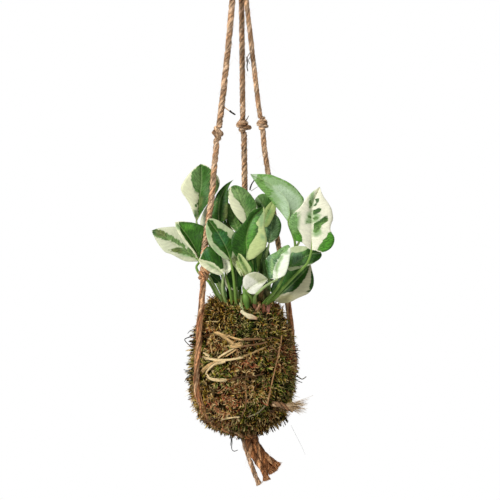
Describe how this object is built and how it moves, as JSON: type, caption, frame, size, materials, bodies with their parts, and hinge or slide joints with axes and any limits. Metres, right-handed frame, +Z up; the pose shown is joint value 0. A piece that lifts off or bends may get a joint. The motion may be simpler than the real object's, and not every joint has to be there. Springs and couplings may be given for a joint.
{
  "type": "hanging kokedama plant",
  "caption": "Moss-wrapped ball of soil planted with a variegated pothos, carried in a knotted jute rope hanger with a loop at the top and frayed rope ends below",
  "frame": {"origin": "the point inside the top of the rope loop where a hook carries the hanger", "axes": "+Z up along the hanging line, +X to the right and -Y towards the viewer of the front"},
  "size_m": [0.179, 0.1081, 0.5736],
  "materials": {
    "jute": "matte twisted fibre",
    "straw": "matte dry straw",
    "moss": "matte, loose moss",
    "soil": "matte, damp",
    "leaf": "satin, green with cream variegation",
    "stem": "satin green",
    "cut_stem": "matte, dry"
  },
  "bodies": {
    "root": {"soil_ball": "soil", "moss_cover": "moss", "binding_upper": "straw", "binding_middle": "straw", "binding_lower": "straw", "binding_straw": "straw", "top_knot": "jute", "hanging_loop": "jute", "rope_upper_left": "jute", "first_knot_left": "jute", "rope_middle_left": "jute", "second_knot_left": "jute", "rope_cradle_left": "jute", "rope_upper_right": "jute", "first_knot_right": "jute", "rope_middle_right": "jute", "second_knot_right": "jute", "rope_cradle_right": "jute", "rope_upper_back": "jute", "first_knot_back": "jute", "rope_middle_back": "jute", "second_knot_back": "jute", "rope_cradle_back": "jute", "gather_knot": "jute", "tail_right": "jute", "tail_middle": "jute", "tail_back": "jute", "tail_thin": "jute", "binding_tail": "jute", "vine_stem": "stem", "cut_stub": "cut_stem", "leaf_left_tall": "leaf", "leaf_left_pale": "leaf", "leaf_far_left": "leaf", "leaf_left_dark": "leaf", "leaf_front_left": "leaf", "leaf_front_centre": "leaf", "leaf_left_low": "leaf", "leaf_small_dark": "leaf", "leaf_small_white": "leaf", "leaf_inner_dark": "leaf", "leaf_low_white": "leaf", "leaf_right_upright": "leaf", "leaf_right_wide": "leaf", "leaf_right_tall": "leaf", "leaf_top_right": "leaf", "leaf_centre_upright": "leaf", "leaf_narrow_dark": "leaf", "leaf_centre_dark": "leaf", "leaf_behind_right": "leaf", "leaf_dull_oval": "leaf", "leaf_pale_strip": "leaf", "leaf_low_right": "leaf", "leaf_unfurling": "leaf", "leaf_back_upright": "leaf", "leaf_back_left": "leaf", "leaf_back_right": "leaf", "leaf_back_low_right": "leaf", "leaf_back_low_left": "leaf", "leaf_back_centre": "leaf"}
  },
  "joints": []
}
